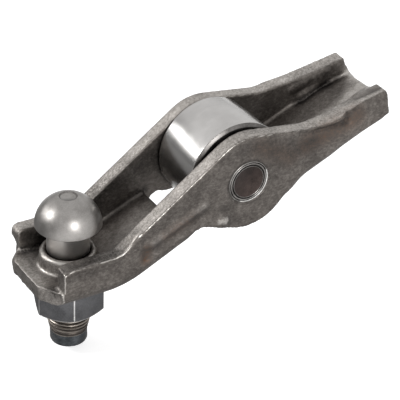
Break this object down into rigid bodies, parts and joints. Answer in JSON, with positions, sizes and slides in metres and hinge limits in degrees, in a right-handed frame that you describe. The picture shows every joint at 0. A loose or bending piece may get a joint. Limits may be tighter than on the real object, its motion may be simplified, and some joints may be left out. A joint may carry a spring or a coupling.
{
  "type": "roller rocker arm",
  "caption": "Pressed steel finger rocker arm with a needle roller between its walls and an adjustable ball stud locked by a nut.",
  "frame": {"origin": "on the roller axle, midway between the two walls", "axes": "+X towards the valve end, +Y across the arm along the roller axle, +Z along the stud towards its ball"},
  "size_m": [0.073, 0.0192, 0.0408],
  "materials": {
    "pressed_steel": "dark satin, as pressed and hardened",
    "axle_steel": "satin, staked ends",
    "stud_steel": "satin, machined",
    "nut_steel": "dull dark grey",
    "ground_steel": "finely ground, bright",
    "needle_steel": "ground, bright"
  },
  "bodies": {
    "arm": {"arm_body": "pressed_steel", "axle": "axle_steel", "lock_nut": "nut_steel"},
    "stud": {"ball_stud": "stud_steel"},
    "roller": {"roller": "ground_steel"},
    "needle_set": {"needle_01": "needle_steel", "needle_02": "needle_steel", "needle_03": "needle_steel", "needle_04": "needle_steel", "needle_05": "needle_steel", "needle_06": "needle_steel", "needle_07": "needle_steel", "needle_08": "needle_steel", "needle_09": "needle_steel", "needle_10": "needle_steel", "needle_11": "needle_steel", "needle_12": "needle_steel", "needle_13": "needle_steel", "needle_14": "needle_steel", "needle_15": "needle_steel"}
  },
  "joints": [
    {"name": "stud_adjust", "type": "slide", "parent": "arm", "child": "stud", "axis": [0, 0, 1], "range_m": [-0.0015, 0.0015]},
    {"name": "roller_spin", "type": "hinge", "parent": "arm", "child": "roller", "pos_m": [0, 0, 0], "axis": [0, 1, 0], "continuous": true},
    {"name": "needle_orbit", "type": "hinge", "parent": "arm", "child": "needle_set", "pos_m": [0, 0, 0], "axis": [0, 1, 0], "continuous": true}
  ],
  "couplings": [
    {"joint": "needle_orbit", "follows": "roller_spin", "ratio": 0.6047}
  ]
}
